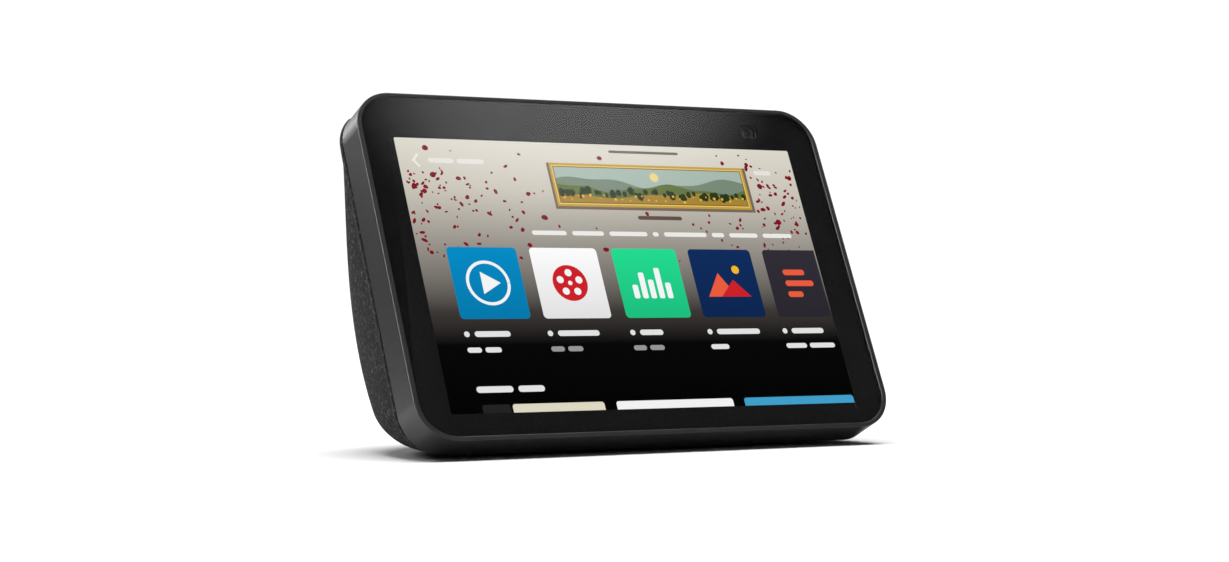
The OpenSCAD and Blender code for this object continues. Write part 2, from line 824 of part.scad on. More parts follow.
module board_screws() {
    color("#c7cacd") on_face() for (p = board_points) translate([p[0], p[1], board_back]) rotate([180, 0, 0])
        screw(0.8, 5);
}

module lid_screws() {
    color("#c7cacd") for (p = lid_points) translate([p[0], p[1], box_high]) screw(0.8, 6);
}

module base_screws() {
    color("#c7cacd") for (p = base_points) translate([p[0], p[1], base_seat]) rotate([180, 0, 0])
        screw(0.8, 5);
}

front_frame();
cover_glass();
border_print();
glass_adhesive();
touch_sensor();
lcd_panel();
optical_films();
light_guide();
led_strip();
backlight_tray();
display_chassis();
main_board();
processor();
thermal_pad();
heat_sink();
shield_cans();
camera_module();
camera_bracket();
light_sensor();
shutter_blade();
shutter_slider();
mic_button();
volume_down_button();
volume_up_button();
button_board();
tact_switches();
microphones();
microphone_boots();
wifi_antennas();
speaker_enclosure();
enclosure_lid();
left_speaker_frame();
left_speaker_magnet();
left_speaker_surround();
left_speaker_cone();
right_speaker_frame();
right_speaker_magnet();
right_speaker_surround();
right_speaker_cone();
radiator_frame();
radiator_surround();
radiator_diaphragm();
rear_housing();
fabric_cover();
base_plate();
rubber_foot();
port_bezel();
dc_jack();
jack_pin();
power_board();
display_cable();
speaker_wires();
power_wires();
chassis_screws();
housing_screws();
board_screws();
lid_screws();
base_screws();
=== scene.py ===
"""Smart display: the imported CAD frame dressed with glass, knit, moulded plastic and a lit screen."""

import math
import random

import bpy
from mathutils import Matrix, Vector


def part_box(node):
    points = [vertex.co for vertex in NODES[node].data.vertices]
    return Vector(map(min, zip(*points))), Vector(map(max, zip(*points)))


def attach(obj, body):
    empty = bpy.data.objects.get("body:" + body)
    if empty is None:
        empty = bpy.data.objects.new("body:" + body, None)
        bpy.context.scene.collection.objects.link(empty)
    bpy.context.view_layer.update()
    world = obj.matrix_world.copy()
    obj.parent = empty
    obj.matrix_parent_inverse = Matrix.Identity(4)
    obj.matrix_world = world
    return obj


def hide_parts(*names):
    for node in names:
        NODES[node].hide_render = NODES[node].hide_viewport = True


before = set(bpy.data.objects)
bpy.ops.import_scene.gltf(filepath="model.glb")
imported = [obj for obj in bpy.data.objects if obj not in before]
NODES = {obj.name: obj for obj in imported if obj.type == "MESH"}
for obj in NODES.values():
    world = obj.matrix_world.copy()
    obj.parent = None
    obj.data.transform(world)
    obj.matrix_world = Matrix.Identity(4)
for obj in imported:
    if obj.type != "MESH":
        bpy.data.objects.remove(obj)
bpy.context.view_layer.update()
MM = 0.001

# Driving dimensions, shared with the CAD source, in millimetres and degrees
LEAN = 25.0
FACE_H = 135.4
FACE_R = 15.0
SCREEN_W = 172.3
SCREEN_H = 107.7
SCREEN_MID = 64.1
GLASS_BACK = -1.25
CAMERA_X = 70.2
CAMERA_MID = 126.0
BELLY_H = 45.0
BASE_CURL = 9.3
COVER_INSET = 0.6
COVER_T = 0.8
SEAM = 0.45
BASE_EDGE_R = 4.0
BASE_MID_Y = -33.0
BASE_R = 72.0
BASE_CORNER = 10.0
PORT_H = 13.0
BUTTON_Z = -7.7
FRAME_DEPTH = 13.6
BACK_POWER = 1.7  # exponent of the upper back's curve
FULL_MOST, FULL_DROP = 2.96, 0.97  # exponent of a level's outline: at its fullest height, and what it loses
FULL_H, FULL_REACH = 64.5, 62.0  # that height, and the distance from it at which all of it is lost
FIRST_LAYER, LAYER_STEP = -0.09, 0.012  # the picture's flat layers, against the back of the glass

# Places measured on the frame
frame_low, frame_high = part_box("front_frame")
FACE_W = (frame_high.x - frame_low.x) / MM
FRONT_Y = frame_low.y / MM
FOOT_H = frame_low.z / MM
DEPTH = -2 * FRONT_Y
LEAN_SIN = math.sin(math.radians(LEAN))
LEAN_COS = math.cos(math.radians(LEAN))
FRONT_Z = FOOT_H + FRAME_DEPTH * LEAN_SIN
BODY_BASE = FOOT_H + 0.5
BODY_TOP = FOOT_H + (FACE_H - COVER_INSET) * LEAN_COS


# ---- Mesh helpers ----

def on_face(x, y, z):
    """A point given across, up and out of the face, in millimetres, as a point of the frame in metres."""
    return Vector((x, FRONT_Y + y * LEAN_SIN - z * LEAN_COS, FRONT_Z + y * LEAN_COS + z * LEAN_SIN)) * MM


def on_screen(x, y, layer):
    """A point of the picture, from its middle; each layer lies a little nearer to the viewer."""
    return on_face(x, SCREEN_MID + y, GLASS_BACK + FIRST_LAYER + LAYER_STEP * layer)


def build(name, points, faces, material, body="housing", smooth=True):
    mesh = bpy.data.meshes.new(name)
    mesh.from_pydata([tuple(p) for p in points], [], faces)
    mesh.validate()
    for polygon in mesh.polygons:
        polygon.use_smooth = smooth
    piece = bpy.data.objects.new(name, mesh)
    bpy.context.scene.collection.objects.link(piece)
    mesh.materials.append(material)
    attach(piece, body)
    return piece


def bevel(piece, width, segments=2, angle=35):
    modifier = piece.modifiers.new("edge", "BEVEL")
    modifier.width = width * MM
    modifier.segments = segments
    modifier.limit_method = "ANGLE"
    modifier.angle_limit = math.radians(angle)
    modifier.harden_normals = True


# ---- Material helpers ----

def new_material(name, colour, roughness, metallic=0.0):
    material = bpy.data.materials.new(name)
    material.use_nodes = True
    tree = material.node_tree
    shader = tree.nodes["Principled BSDF"]
    shader.inputs["Base Color"].default_value = (*colour, 1)
    shader.inputs["Roughness"].default_value = roughness
    shader.inputs["Metallic"].default_value = metallic
    return material, tree, shader


def link(tree, source, output, target, socket):
    tree.links.new(source.outputs[output], target.inputs[socket])


def noise(tree, scale, detail=3.0, rough=0.55):
    where = tree.nodes.new("ShaderNodeTexCoord")
    texture = tree.nodes.new("ShaderNodeTexNoise")
    texture.inputs["Scale"].default_value = scale
    texture.inputs["Detail"].default_value = detail
    texture.inputs["Roughness"].default_value = rough
    link(tree, where, "Object", texture, "Vector")
    return texture


def spread(tree, source, output, low, high):
    """Maps a 0 to 1 value onto low to high."""
    node = tree.nodes.new("ShaderNodeMapRange")
    node.inputs["To Min"].default_value = low
    node.inputs["To Max"].default_value = high
    link(tree, source, output, node, "Value")
    return node


def ramp(tree, source, output, stops):
    node = tree.nodes.new("ShaderNodeValToRGB")
    elements = node.color_ramp.elements
    while len(elements) < len(stops):
        elements.new(0.5)
    for element, (place, colour) in zip(elements, stops):
        element.position = place
        element.color = (*colour, 1)
    link(tree, source, output, node, "Fac")
    return node


def add_bump(tree, shader, source, output, strength, distance):
    node = tree.nodes.new("ShaderNodeBump")
    node.inputs["Strength"].default_value = strength
    node.inputs["Distance"].default_value = distance * MM
    link(tree, source, output, node, "Height")
    link(tree, node, "Normal", shader, "Normal")
    return node


def tint(colour, factor):
    return tuple(min(1.0, c * factor) for c in colour)


def moulded_plastic(name, colour, roughness, grain=0.25, shine=0.5, edge_r=0.0):
    """Moulded plastic: faint mottling, a fine spark-eroded grain, and rubbed, lighter edges."""
    material, tree, shader = new_material(name, colour, roughness)
    shader.inputs["Specular IOR Level"].default_value = shine
    mottle = noise(tree, 60, 4)
    shade = ramp(tree, mottle, "Fac", [(0.3, tint(colour, 0.86)), (0.7, tint(colour, 1.12))])
    geometry = tree.nodes.new("ShaderNodeNewGeometry")
    edge = ramp(tree, geometry, "Pointiness", [(0.5, (0, 0, 0)), (0.62, (1, 1, 1))])
    worn = tree.nodes.new("ShaderNodeMixRGB")
    worn.inputs["Color2"].default_value = (*tint(colour, 1.7), 1)
    link(tree, edge, "Color", worn, "Fac")
    link(tree, shade, "Color", worn, "Color1")
    link(tree, worn, "Color", shader, "Base Color")
    smudge = noise(tree, 240, 2)
    gloss = spread(tree, smudge, "Fac", roughness - 0.06, roughness + 0.08)
    link(tree, gloss, "Result", shader, "Roughness")
    bump = add_bump(tree, shader, noise(tree, 5200, 2), "Fac", grain, 0.03)
    if edge_r:
        soft_edge = tree.nodes.new("ShaderNodeBevel")
        soft_edge.inputs["Radius"].default_value = edge_r * MM
        link(tree, soft_edge, "Normal", bump, "Normal")
    return material


def brushed_metal(name, colour, roughness, metallic=1.0):
    """Rolled or stamped metal with fine streaks along X."""
    material, tree, shader = new_material(name, colour, roughness, metallic)
    where = tree.nodes.new("ShaderNodeTexCoord")
    stretch = tree.nodes.new("ShaderNodeMapping")
    stretch.inputs["Scale"].default_value = (120, 4000, 4000)
    streak = tree.nodes.new("ShaderNodeTexNoise")
    streak.inputs["Detail"].default_value = 4
    streak.inputs["Scale"].default_value = 1.0
    link(tree, where, "Object", stretch, "Vector")
    link(tree, stretch, "Vector", streak, "Vector")
    shade = ramp(tree, streak, "Fac", [(0.3, tint(colour, 0.8)), (0.7, tint(colour, 1.1))])
    link(tree, shade, "Color", shader, "Base Color")
    gloss = spread(tree, streak, "Fac", roughness - 0.08, roughness + 0.12)
    link(tree, gloss, "Result", shader, "Roughness")
    add_bump(tree, shader, streak, "Fac", 0.15, 0.02)
    return material


def soft_rubber(name, colour, roughness=0.72):
    """Matt rubber with a dusty bloom and fine stipple."""
    material, tree, shader = new_material(name, colour, roughness)
    bloom = noise(tree, 150, 5, 0.7)
    shade = ramp(tree, bloom, "Fac", [(0.35, tint(colour, 0.8)), (0.75, tint(colour, 1.6))])
    link(tree, shade, "Color", shader, "Base Color")
    shader.inputs["Specular IOR Level"].default_value = 0.3
    add_bump(tree, shader, noise(tree, 2600, 2), "Fac", 0.3, 0.05)
    return material


def circuit_board():
    """Solder mask over copper tracks, with bright pads."""
    material, tree, shader = new_material("circuit_board", (0.01, 0.09, 0.04), 0.35)
    where = tree.nodes.new("ShaderNodeTexCoord")
    tracks = tree.nodes.new("ShaderNodeTexVoronoi")
    tracks.distance = "MANHATTAN"
    tracks.feature = "F1"
    tracks.inputs["Scale"].default_value = 420
    link(tree, where, "Object", tracks, "Vector")
    shade = ramp(tree, tracks, "Distance", [(0.04, (0.55, 0.42, 0.16)), (0.09, (0.012, 0.1, 0.045)),
                                            (0.45, (0.008, 0.07, 0.03)), (0.5, (0.02, 0.16, 0.07))])
    link(tree, shade, "Color", shader, "Base Color")
    add_bump(tree, shader, tracks, "Distance", 0.3, 0.05)
    return material


def coated_gloss(name, colour, roughness):
    """A smooth coated or printed surface with a trace of unevenness in its gloss."""
    material, tree, shader = new_material(name, colour, roughness)
    cloud = noise(tree, 35, 3)
    gloss = spread(tree, cloud, "Fac", roughness, roughness + 0.05)
    link(tree, gloss, "Result", shader, "Roughness")
    return material


def bonded_print():
    """Black ink under the glass: it has no surface shine of its own, only a trace of grain."""
    material, tree, shader = new_material("black_print", (0.013, 0.013, 0.0135), 0.6)
    grain = ramp(tree, noise(tree, 900, 3), "Fac", [(0.3, (0.011, 0.011, 0.0115)),
                                                    (0.7, (0.016, 0.016, 0.0168))])
    link(tree, grain, "Color", shader, "Base Color")
    shader.inputs["Specular IOR Level"].default_value = 0.0
    return material


def clear_glass():
    """Coated cover glass: clear, with a weak smooth reflection broken by a faint smear of oils."""
    material, tree, shader = new_material("clear_glass", (1, 1, 1), 0.02)
    clear = tree.nodes.new("ShaderNodeBsdfTransparent")
    shine = tree.nodes.new("ShaderNodeBsdfGlossy")
    edge = tree.nodes.new("ShaderNodeFresnel")
    edge.inputs["IOR"].default_value = 1.36
    mix = tree.nodes.new("ShaderNodeMixShader")
    smear = spread(tree, noise(tree, 28, 4, 0.6), "Fac", 0.0, 0.03)
    link(tree, smear, "Result", shine, "Roughness")
    side = tree.nodes.new("ShaderNodeNewGeometry")
    front_only = tree.nodes.new("ShaderNodeMath")
    front_only.operation = "SUBTRACT"
    front_only.use_clamp = True
    link(tree, edge, "Fac", front_only, 0)
    link(tree, side, "Backfacing", front_only, 1)
    link(tree, front_only, 0, mix, 0)
    link(tree, clear, 0, mix, 1)
    link(tree, shine, 0, mix, 2)
    link(tree, mix, 0, tree.nodes["Material Output"], 0)
    tree.nodes.remove(shader)
    return material


def maths(tree, operation, a, b=None):
    """A maths node; each input is a number or a (node, output) pair. Gives back such a pair."""
    node = tree.nodes.new("ShaderNodeMath")
    node.operation = operation
    for socket, value in ((0, a), (1, b)):
        if isinstance(value, tuple):
            tree.links.new(value[0].outputs[value[1]], node.inputs[socket])
        elif value is not None:
            node.inputs[socket].default_value = value
    return (node, 0)


def stitch_height(tree):
    """Height of the V stitches. UV is in stitches: u counts wales and v counts courses."""
    where = tree.nodes.new("ShaderNodeUVMap")
    where.uv_map = "knit"
    split = tree.nodes.new("ShaderNodeSeparateXYZ")
    link(tree, where, "UV", split, "Vector")
    across = maths(tree, "PINGPONG", (split, "X"), 0.5)
    slant = maths(tree, "MULTIPLY", across, 1.3)
    along = maths(tree, "ADD", (split, "Y"), slant)
    loop = maths(tree, "ABSOLUTE", maths(tree, "SINE", maths(tree, "MULTIPLY", along, math.pi)))
    turns = maths(tree, "MULTIPLY", (split, "X"), 2 * math.pi)
    leg = maths(tree, "ABSOLUTE", maths(tree, "SINE", turns))
    return maths(tree, "MULTIPLY", maths(tree, "POWER", loop, 0.6), maths(tree, "POWER", leg, 0.5))


def melange(tree):
    """Colour of the mixed yarn: mostly near black, with light flecks."""
    yarn = maths(tree, "MULTIPLY", (noise(tree, 620, 4, 0.7), "Fac"), 0.6)
    fleck = maths(tree, "MULTIPLY", (noise(tree, 1500, 2, 0.6), "Fac"), 0.4)
    mixed = maths(tree, "ADD", yarn, fleck)
    return ramp(tree, mixed[0], 0, [(0.42, (0.001, 0.001, 0.0012)), (0.5, (0.008, 0.0082, 0.009)),
                                    (0.56, (0.04, 0.041, 0.043)), (0.63, (0.15, 0.153, 0.16))])


def knit_material():
    """Charcoal knit: rows of V stitches in a melange yarn, with painted shade in the hollows between the
    stitches, and a soft fibre sheen.
    """
    material, tree, shader = new_material("charcoal_knit", (0.045, 0.046, 0.05), 0.92)
    height = stitch_height(tree)
    # Painted shade: the yarn colour is darkened where the stitches are low, in the hollows between them.
    hollow_shade = tree.nodes.new("ShaderNodeMixRGB")
    hollow_shade.blend_type = "MULTIPLY"
    hollow_shade.inputs["Fac"].default_value = 0.9
    link(tree, melange(tree), "Color", hollow_shade, "Color1")
    hollow_shade_ramp = ramp(tree, height[0], 0, [(0.0, (0.12, 0.12, 0.12)), (0.6, (1, 1, 1))])
    link(tree, hollow_shade_ramp, "Color", hollow_shade, "Color2")
    link(tree, hollow_shade, "Color", shader, "Base Color")
    shader.inputs["Sheen Weight"].default_value = 0.08
    shader.inputs["Sheen Roughness"].default_value = 0.5
    shader.inputs["Specular IOR Level"].default_value = 0.08
    add_bump(tree, shader, height[0], 0, 0.9, 0.35)
    return material


def light_from(name, colour):
    """A lit part of the picture."""
    material, _, shader = new_material(name, (0, 0, 0), 0.6)
    shader.inputs["Specular IOR Level"].default_value = 0.0
    shader.inputs["Emission Color"].default_value = (*colour, 1)
    shader.inputs["Emission Strength"].default_value = 1.0
    return material


def srgb(red, green, blue):
    """Screen colour, 0 to 255, as linear light."""
    def channel(value):
        value /= 255
        return value / 12.92 if value <= 0.04045 else ((value + 0.055) / 1.055) ** 2.4
    return tuple(channel(value) for value in (red, green, blue))


# ---- Rear body ----

def plane_y(h):
    """Where the plane at the back of the frame is at a height."""
    return FRONT_Y + FRAME_DEPTH * LEAN_COS + (h - FOOT_H) * LEAN_SIN / LEAN_COS


def fullness(h):
    return FULL_MOST - FULL_DROP * ((h - FULL_H) / FULL_REACH) ** 2


def half_width(h, inset):
    """Half the body's width at a height; it follows the frame's rounded corners."""
    along = (h - FOOT_H) / LEAN_COS
    r = FACE_R - COVER_INSET - inset
    edge = max(0.0, min(along, FACE_H - along) - COVER_INSET - inset)
    corner = 0.0 if edge >= r else r - math.sqrt(r * r - (r - edge) ** 2)
    return FACE_W / 2 - COVER_INSET - inset - corner


def back_y(h, inset):
    """The hindmost point of the body at a height, drawn in by an inset."""
    if h >= BELLY_H:
        k = min(1.0, (h - BELLY_H) / (BODY_TOP - inset - BELLY_H))
        start = plane_y(BODY_TOP)
        return start + (DEPTH / 2 - inset - start) * (1 - k ** BACK_POWER) ** (1 / BACK_POWER)
    rise = h - BODY_BASE
    edge = 0.0
    if rise < BASE_EDGE_R:
        edge = BASE_EDGE_R - math.sqrt(BASE_EDGE_R ** 2 - (BASE_EDGE_R - rise) ** 2)
    return DEPTH / 2 - inset - BASE_CURL * (1 - math.sqrt(1 - ((BELLY_H - h) / BELLY_H) ** 2)) - edge


def body_ring(h, inset, count):
    """Points of one level, spaced evenly along its curve, from the left front edge round to the right."""
    power = 2 / fullness(h)
    width = half_width(h, inset)
    start = plane_y(h) + SEAM
    reach = back_y(h, inset) - start
    fine, steps = [], 400
    for i in range(steps + 1):
        t = math.pi * (i / steps)
        c, s = math.cos(t), max(0.0, math.sin(t))
        fine.append((-math.copysign(abs(c) ** power, c) * width, start + reach * s ** power))
    length = [0.0]
    for a, b in zip(fine, fine[1:]):
        length.append(length[-1] + math.dist(a, b))
    points, j = [], 0
    for i in range(count + 1):
        want = length[-1] * i / count
        while j < len(fine) - 2 and length[j + 1] < want:
            j += 1
        part = (want - length[j]) / max(1e-9, length[j + 1] - length[j])
        points.append((fine[j][0] + (fine[j + 1][0] - fine[j][0]) * part,
                       fine[j][1] + (fine[j + 1][1] - fine[j][1]) * part))
    return points, length[-1]


def in_base(x, y):
    """Whether a point lies inside the base plate's outline: a half disc with rounded front corners."""
    u, v = abs(x), y - BASE_MID_Y
    corner_x = math.sqrt((BASE_R - BASE_CORNER) ** 2 - BASE_CORNER ** 2)
    join_y = BASE_CORNER * BASE_R / (BASE_R - BASE_CORNER)
    if v >= join_y:
        return math.hypot(u, v) <= BASE_R
    return (u <= corner_x and v >= 0) or math.hypot(u - corner_x, v - BASE_CORNER) <= BASE_CORNER


def hem_point(x, y):
    """The point of the base plate's outline that faces a point of the body's lower edge."""
    middle = BASE_MID_Y + 0.4 * BASE_R
    low, high = 0.0, 1.0
    halvings = 20
    for _ in range(halvings):
        part = (low + high) / 2
        if in_base(x * part, middle + (y - middle) * part):
            low = part
        else:
            high = part
    return x * high, middle + (y - middle) * high


def clear_port(points, faces, hole=7.1, reach=0.9):
    """Draws the net in to a round edge about the power inlet and drops the faces inside it."""
    centre = Vector((0, back_y(PORT_H, 0), PORT_H)) * MM
    step = 2
    slope = (back_y(PORT_H + step, 0) - back_y(PORT_H - step, 0)) / (2 * step)
    axis = Vector((0, 1, -slope)).normalized()

    def radial(p):
        away = p - centre
        return away - axis * away.dot(axis)

    for i, p in enumerate(points):
        out = radial(p)
        if p.y > 0 and abs(out.length / MM - hole) < reach:
            points[i] = p + out * (hole * MM / out.length - 1)
    kept = []
    for face in faces:
        middle = sum((points[k] for k in face), Vector()) / len(face)
        if middle.y < 0 or radial(middle).length > (hole - 0.05) * MM:
            kept.append(face)
    return kept


AROUND, UP = 240, 140  # cells of the knitted net, along a level and up the back
STITCH_W, STITCH_H = 1.15, 1.0
ROLL_IN, ROLL_BACK = 0.85, 2.3  # how far the free edge along the frame turns in, and how far back it stays


def turned_edge(x, y, back):
    """Three points of the free edge, which turns inwards and leaves a dark seam beside the frame."""
    shoulder = math.copysign(0.25, x)
    return [(x - math.copysign(ROLL_IN, x), y + back), (x - shoulder, y + back * 1.02), (x, y + back * 1.15)]


def cover_net():
    """Points, stitch counts and faces of the knitted net over the rear body."""
    under_lip = 0.25
    top = BODY_TOP - under_lip
    widest = body_ring(BELLY_H, 0.0, AROUND)[1]
    points, uvs = [], []
    row_up, last = 0.0, None
    for j in range(UP + 1):
        h = BODY_BASE + (top - BODY_BASE) * (1 - math.cos(math.pi * j / UP)) / 2
        ring, _ = body_ring(h, 0.0, AROUND)
        middle = (ring[AROUND // 2][1], h)
        back = min(ROLL_BACK, 0.1 * (middle[0] - ring[0][1]))
        if last is not None:
            row_up += math.dist(middle, last)
        last = middle
        for i, (x, y) in enumerate(ring):
            spots = [(x, y)]
            if i == 0:
                spots = turned_edge(x, y, back)
            elif i == AROUND:
                spots = reversed(turned_edge(x, y, back))
            for px, py in spots:
                points.append(Vector((px, py, h)) * MM)
                uvs.append((widest * i / AROUND / STITCH_W, row_up / STITCH_H))
    wide = AROUND + 5
    faces = [(j * wide + i, (j + 1) * wide + i, (j + 1) * wide + i + 1, j * wide + i + 1)
             for j in range(UP) for i in range(wide - 1)]
    return points, uvs, faces


def add_hem(points, uvs, faces):
    """Turns the net's lower edge under the body, up to the base plate's outline."""
    front_cells = 60
    loop = list(range(AROUND + 5))
    edge_y, edge_x = points[0].y / MM, points[0].x / MM
    for i in range(1, front_cells):
        loop.append(len(points))
        x = -edge_x + 2 * edge_x * i / front_cells
        points.append(Vector((x, edge_y, BODY_BASE)) * MM)
        uvs.append((x / STITCH_W, 0.0))
    first = len(points)
    for i in loop:
        x, y = points[i].x / MM, points[i].y / MM
        u, v = hem_point(x, y)
        points.append(Vector((u, v, BODY_BASE)) * MM)
        uvs.append((uvs[i][0], -math.dist((x, y), (u, v)) / STITCH_H))
    count = len(loop)
    for k in range(count):
        after = (k + 1) % count
        faces.append((first + k, loop[k], loop[after], first + after))


def knit_cover(material):
    """The knitted skin: an even net over the rear body, turned under as a hem up to the base plate."""
    points, uvs, faces = cover_net()
    add_hem(points, uvs, faces)
    faces = clear_port(points, faces)
    piece = build("knit_cover", points, faces, material)
    layer = piece.data.uv_layers.new(name="knit")
    for corner in piece.data.loops:
        layer.data[corner.index].uv = uvs[corner.vertex_index]
    thick = piece.modifiers.new("thickness", "SOLIDIFY")
    thick.thickness = COVER_T * MM
    thick.offset = -1
    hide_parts("fabric_cover")


# ---- The lit picture ----

def flat_patch(name, outline, layer, material):
    """A flat part of the picture with a straight or rounded outline, facing the viewer."""
    points = [on_screen(x, y, layer) for x, y in outline]
    return build(name, points, [tuple(range(len(points)))], material, smooth=False)


def rounded(x, y, w, h, r, steps=6):
    """Outline of a rounded rectangle whose lower left corner is at x, y."""
    outline = []
    left, right, low, high = x + r, x + w - r, y + r, y + h - r
    for cx, cy, start in ((right, low, -90), (right, high, 0), (left, high, 90), (left, low, 180)):
        for i in range(steps + 1):
            a = math.radians(start + 90 * i / steps)
            outline.append((cx + r * math.cos(a), cy + r * math.sin(a)))
    return outline


def disc(x, y, r, steps=32):
    return [(x + r * math.cos(2 * math.pi * i / steps), y + r * math.sin(2 * math.pi * i / steps))
            for i in range(steps)]


def arc_band(x, y, r, width, start, end, steps=18):
    """Outline of a curved bar about x, y between two angles."""
    angles = [math.radians(start + (end - start) * i / steps) for i in range(steps + 1)]
    outer = [(x + (r + width / 2) * math.cos(a), y + (r + width / 2) * math.sin(a)) for a in angles]
    inner = [(x + (r - width / 2) * math.cos(a), y + (r - width / 2) * math.sin(a)) for a in reversed(angles)]
    return outer + inner


def fading_light(name, low, high, stops):
    """Light that changes with height on the picture, between two heights from its middle."""
    material, tree, shader = new_material(name, (0, 0, 0), 0.6)
    shader.inputs["Specular IOR Level"].default_value = 0.0
    where = tree.nodes.new("ShaderNodeTexCoord")
    split = tree.nodes.new("ShaderNodeSeparateXYZ")
    link(tree, where, "Object", split, "Vector")
    fade = tree.nodes.new("ShaderNodeMapRange")
    fade.inputs["From Min"].default_value = on_screen(0, low, 0).z
    fade.inputs["From Max"].default_value = on_screen(0, high, 0).z
    link(tree, split, "Z", fade, "Value")
    tone = ramp(tree, fade, "Result", stops)
    link(tree, tone, "Color", shader, "Emission Color")
    shader.inputs["Emission Strength"].default_value = 1.0
    return material


def backdrop(half_w, half_h):
    """The picture's ground: a pale wall that fades down to black."""
    wall = fading_light("picture_ground", -half_h, half_h, [
        (0.0, (0, 0, 0)), (0.24, srgb(4, 4, 4)), (0.36, srgb(60, 56, 54)), (0.6, srgb(152, 147, 139)),
        (0.82, srgb(205, 199, 187)), (1.0, srgb(222, 218, 206))])
    return flat_patch("picture_ground", rounded(-half_w, -half_h, 2 * half_w, 2 * half_h, 0.6), 0, wall)


def petals(half_w, half_h, material):
    """Falling petals, thick at both sides of the picture and thin in the middle."""
    rng = random.Random(7)
    points, faces = [], []
    placed, count, sides = 0, 210, 12
    while placed < count:
        x = rng.uniform(-half_w + 1, half_w - 1)
        y = rng.triangular(0, half_h - 1, half_h * 0.65)
        if rng.random() > 0.05 + 0.95 * (abs(x) / half_w) ** 2.6:
            continue
        on_banner = -26 < x < 64 and 25 < y < 47
        on_header = x < -49 and 42 < y < 48
        if on_banner or on_header:
            continue
        size = rng.choice((0.45, 0.6, 0.75, 0.9, 1.25)) * rng.uniform(0.8, 1.15)
        slim = rng.uniform(0.45, 0.95)
        turn = rng.uniform(0, math.pi)
        first = len(points)
        for i in range(sides):
            a = 2 * math.pi * i / sides
            u, v = size * math.cos(a) * (1 + 0.15 * math.sin(a)), size * slim * math.sin(a)
            points.append(on_screen(x + u * math.cos(turn) - v * math.sin(turn),
                                    y + u * math.sin(turn) + v * math.cos(turn), 1 + 0.002 * placed))
        faces.append(tuple(range(first, first + sides)))
        placed += 1
    return build("picture_petals", points, faces, material, smooth=False)


BANNER = (-24.4, 62.0, 27.4, 45.4)  # left, right, lower and upper edge
BANNER_RIM = 1.7


def inset_box(box, by):
    """Corners of a box, given as left, right, low and high, drawn in on every side."""
    left, right, low, high = box[0] + by, box[1] - by, box[2] + by, box[3] - by
    return [(left, low), (right, low), (right, high), (left, high)]


def banner_rim():
    """The gilt frame, in three steps, and its shadow."""
    x0, x1, y0, y1 = BANNER
    flat_patch("banner_shadow", [(x0 - 1, y0 - 1.2), (x1 + 1.2, y0 - 1.2), (x1 + 1.2, y1), (x0 - 1, y1)], 2,
               light_from("banner_shadow", srgb(120, 104, 88)))
    bead = BANNER_RIM * 0.55
    flat_patch("banner_frame", inset_box(BANNER, 0), 3, light_from("gilt", srgb(196, 158, 62)))
    flat_patch("banner_bead", inset_box(BANNER, bead), 4, light_from("gilt_light", srgb(238, 208, 118)))
    flat_patch("banner_step", inset_box(BANNER, bead + 0.4), 5, light_from("gilt_dark", srgb(122, 88, 26)))


def hills(name, view, base, swing, waves, phase, layer, colour):
    left, right, low = view[:3]
    steps = 48
    top = []
    for i in range(steps + 1):
        along = waves * math.pi * (1 - i / steps)
        rise = swing * math.sin(along + phase) + 0.35 * swing * math.sin(2.7 * along + 2 * phase)
        top.append((right - (right - left) * i / steps, low + base + rise))
    flat_patch(name, [(left, low), (right, low)] + top, layer, light_from(name, srgb(*colour)))


def trees(view, rng):
    left, right, low, high = view
    count, sides = 34, 14
    points, faces = [], []
    for i in range(count):
        x = left + (right - left) * (i + 0.5) / count + rng.uniform(-0.8, 0.8)
        y = low + rng.uniform(2.6, 5.2)
        r = rng.uniform(0.7, 1.5)
        first = len(points)
        for k in range(sides):
            a = 2 * math.pi * k / sides
            u = x + r * (1 + 0.18 * math.sin(5 * a + i)) * math.cos(a)
            v = y + 1.3 * r * math.sin(a)
            u, v = min(right - 0.1, max(left + 0.1, u)), min(high - 0.1, max(low + 0.1, v))
            points.append(on_screen(u, v, 10 + 0.05 * i))
        faces.append(tuple(range(first, first + sides)))
    build("banner_trees", points, faces, light_from("banner_trees", srgb(40, 56, 26)), smooth=False)


def flowers(view, rng):
    left, right, low = view[:3]
    count, sides = 26, 9
    points, faces = [], []
    for i in range(count):
        x = left + (right - left) * (i + 0.3) / count + rng.uniform(-1, 1)
        y = low + rng.uniform(0.8, 3.2)
        head = disc(min(right - 1, max(left + 1, x)), y, rng.uniform(0.3, 0.7), sides)
        first = len(points)
        points += [on_screen(u, v, 12.2) for u, v in head]
        faces.append(tuple(range(first, first + sides)))
    build("banner_flowers", points, faces, light_from("banner_flowers", srgb(222, 178, 74)),
          smooth=False)


def banner():
    """A wide gilt frame round a made-up landscape of sky, a low sun, hills, trees and flowers."""
    banner_rim()
    corners = inset_box(BANNER, BANNER_RIM)
    view = (corners[0][0], corners[1][0], corners[0][1], corners[2][1])
    flat_patch("banner_sky", corners, 6, light_from("banner_sky", srgb(168, 186, 176)))
    hills("banner_far_hills", view, 8.6, 1.9, 2.6, 0.4, 7, (120, 138, 120))
    hills("banner_mid_hills", view, 6.4, 1.5, 3.4, 1.7, 8, (98, 116, 62))
    hills("banner_near_hills", view, 3.4, 1.1, 2.2, 2.9, 9, (168, 134, 52))
    sun_x, sun_y = view[0] + (view[1] - view[0]) * 0.52, view[2] + 11.2
    flat_patch("banner_sun", disc(sun_x, sun_y, 1.9), 6.5, light_from("banner_sun", srgb(240, 214, 140)))
    rng = random.Random(11)
    trees(view, rng)
    flowers(view, rng)


def bar(name, x, y, w, h, layer, material):
    """A rounded bar that stands in for a line of words."""
    return flat_patch(name, rounded(x, y, w, h, h / 2 * 0.98, 4), layer, material)


TILE_LOW, TILE_HIGH = -18.0, 10.2
TILE = TILE_HIGH - TILE_LOW
TILE_LEFTS = (-74.6, -41.0, -6.5, 27.1, 61.0)


